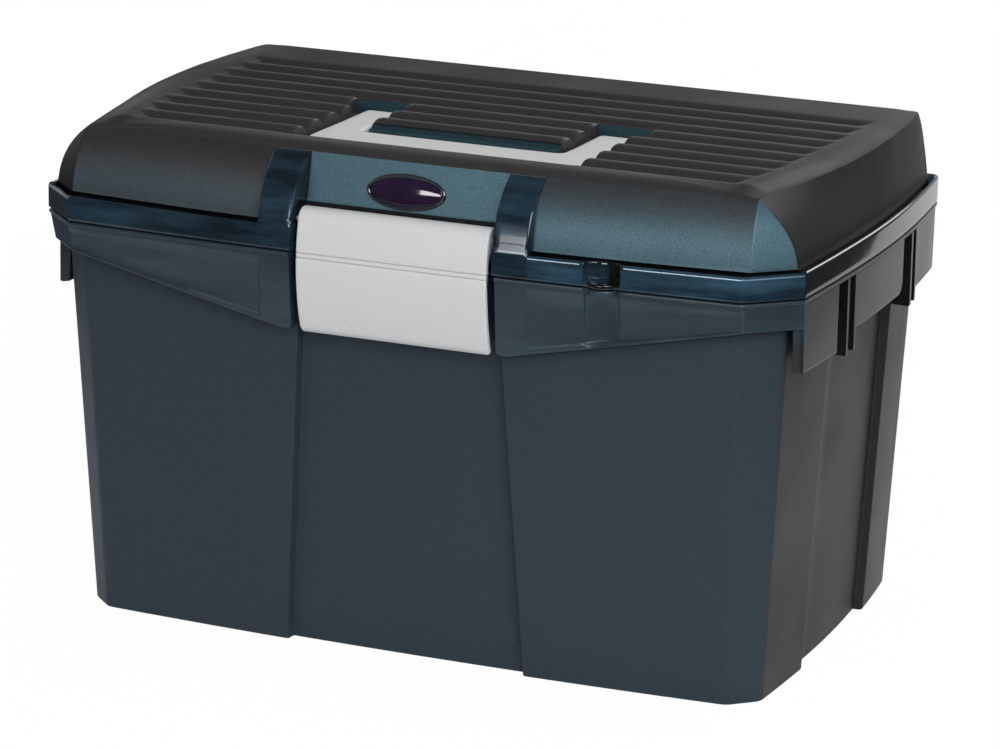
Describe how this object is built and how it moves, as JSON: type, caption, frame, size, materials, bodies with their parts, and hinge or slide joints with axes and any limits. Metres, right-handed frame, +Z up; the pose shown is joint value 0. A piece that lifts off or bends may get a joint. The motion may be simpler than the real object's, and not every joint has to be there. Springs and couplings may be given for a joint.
{
  "type": "horse grooming box",
  "caption": "Moulded grooming box with a hinged ribbed lid, front latch flap, flush carrying handle, padlock eye and lift-out tray.",
  "frame": {"origin": "on the surface that the box stands on, midway along its length and midway between the front and the back of its rim", "axes": "+Z up, +X along the length to the right as seen from the front, -Y out of the front with the latch"},
  "size_m": [0.4, 0.2628, 0.25],
  "materials": {
    "tub_plastic": "dark blue pearl, fine grain",
    "lid_plastic": "dark teal-blue pearl, fine grain on the panels, polished straps and rim",
    "grey_plastic": "light grey, satin",
    "pin_steel": "bright drawn",
    "badge_gloss": "dark violet-black, domed and glossy",
    "tray_plastic": "mid grey, fine grain"
  },
  "bodies": {
    "tub": {"base_tub": "tub_plastic", "hinge_pin_left": "pin_steel", "hinge_pin_right": "pin_steel"},
    "lid": {"lid_shell": "lid_plastic", "handle_pin_left": "pin_steel", "handle_pin_right": "pin_steel", "latch_pin_left": "pin_steel", "latch_pin_right": "pin_steel", "badge_bezel": "badge_gloss", "badge_dome": "badge_gloss"},
    "handle": {"carry_handle": "grey_plastic"},
    "latch": {"front_latch": "grey_plastic"},
    "tray": {"insert_tray": "tray_plastic"}
  },
  "joints": [
    {"name": "lid_hinge", "type": "hinge", "parent": "tub", "child": "lid", "pos_m": [0, 0.131, 0.202], "axis": [-1, 0, 0], "range_deg": [0, 105]},
    {"name": "latch_hinge", "type": "hinge", "parent": "lid", "child": "latch", "pos_m": [0, -0.1165, 0.217], "axis": [-1, 0, 0], "range_deg": [0, 90]},
    {"name": "handle_hinge", "type": "hinge", "parent": "lid", "child": "handle", "pos_m": [0, -0.0005, 0.2408], "axis": [-1, 0, 0], "range_deg": [0, 100]},
    {"name": "tray_lift", "type": "slide", "parent": "tub", "child": "tray", "axis": [0, 0, 1], "range_m": [0, 0.015]}
  ]
}
